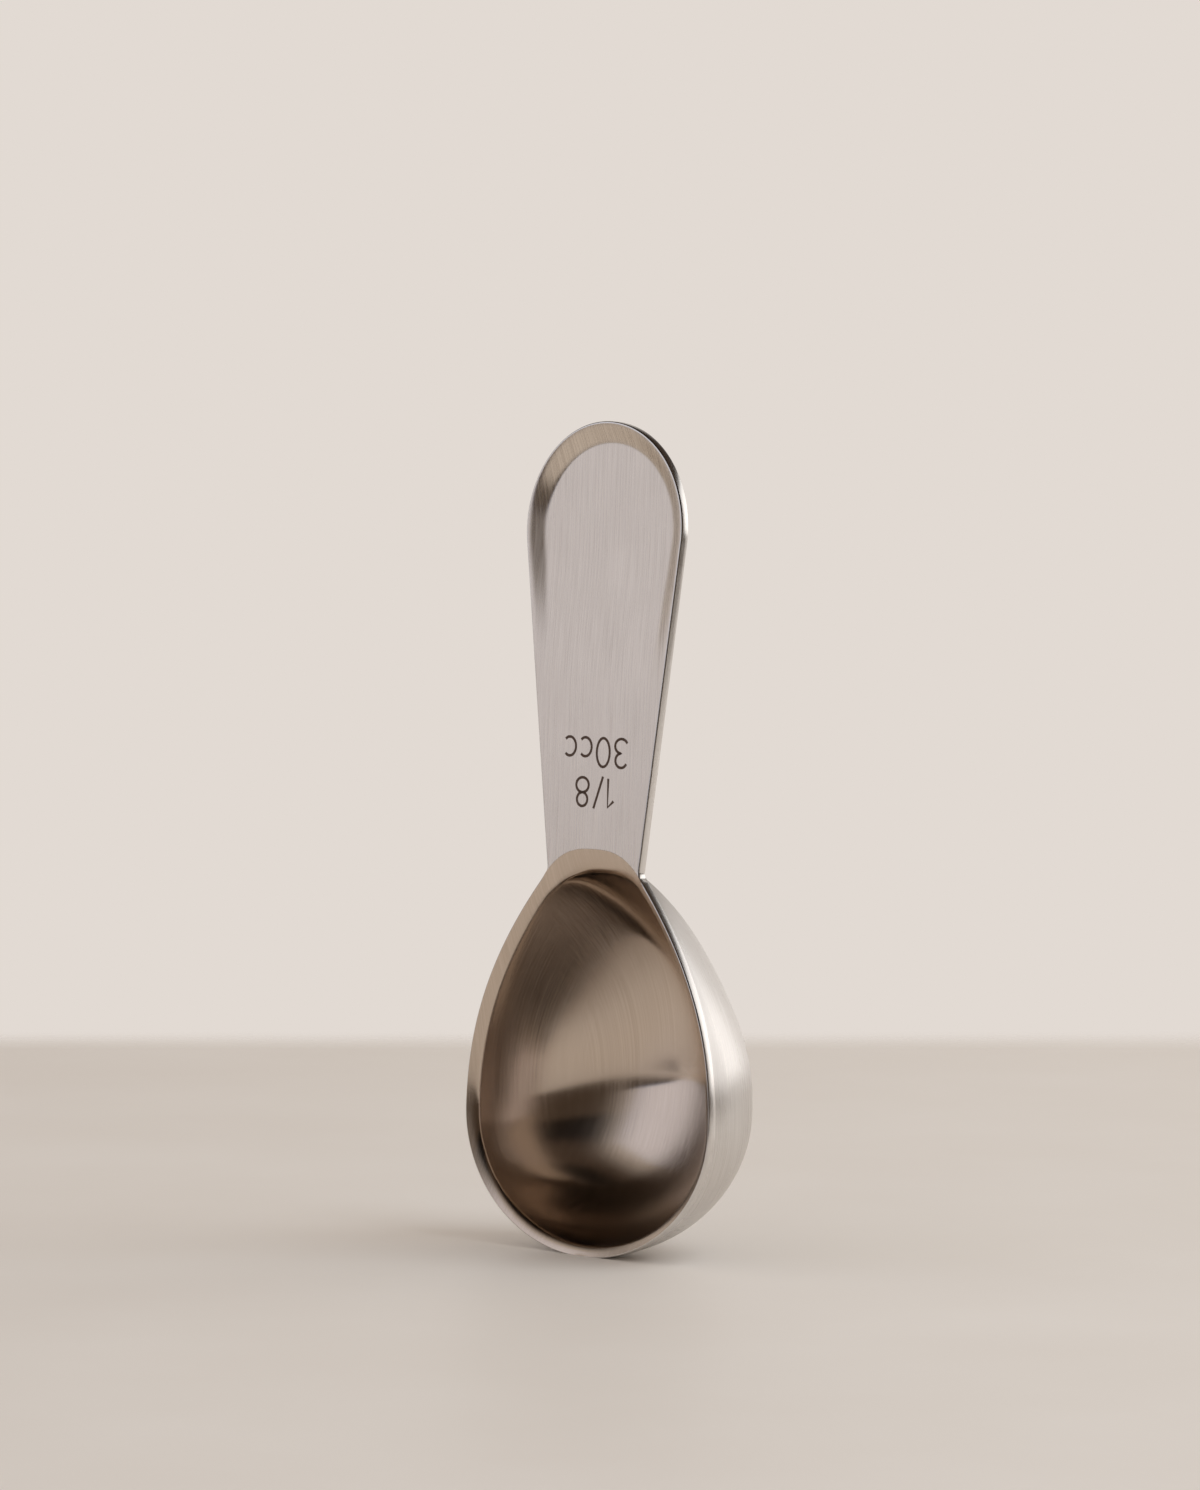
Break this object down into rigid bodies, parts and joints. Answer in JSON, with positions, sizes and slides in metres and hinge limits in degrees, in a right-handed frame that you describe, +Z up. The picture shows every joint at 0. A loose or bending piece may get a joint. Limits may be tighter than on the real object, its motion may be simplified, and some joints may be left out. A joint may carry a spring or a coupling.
{
  "type": "coffee scoop",
  "caption": "Stainless coffee scoop with a deep egg-shaped bowl and a flat dished handle, standing on the tip of its bowl; it measures out ground coffee.",
  "frame": {"origin": "on the table, under the middle of the scoop's box", "axes": "+Z up along the handle, which leans 2.6 degrees back from it; the mouth of the bowl and the dished panel face -Y; +X is to the right seen from the front"},
  "size_m": [0.0506, 0.0254, 0.1246],
  "materials": {
    "bowl_steel": "satin brushed along the bowl, polished cut edge",
    "handle_steel": "satin brushed lengthways, polished cut edge",
    "weld_steel": "ground bead"
  },
  "bodies": {
    "root": {"bowl": "bowl_steel", "handle": "handle_steel", "neck_weld": "weld_steel"}
  },
  "joints": []
}
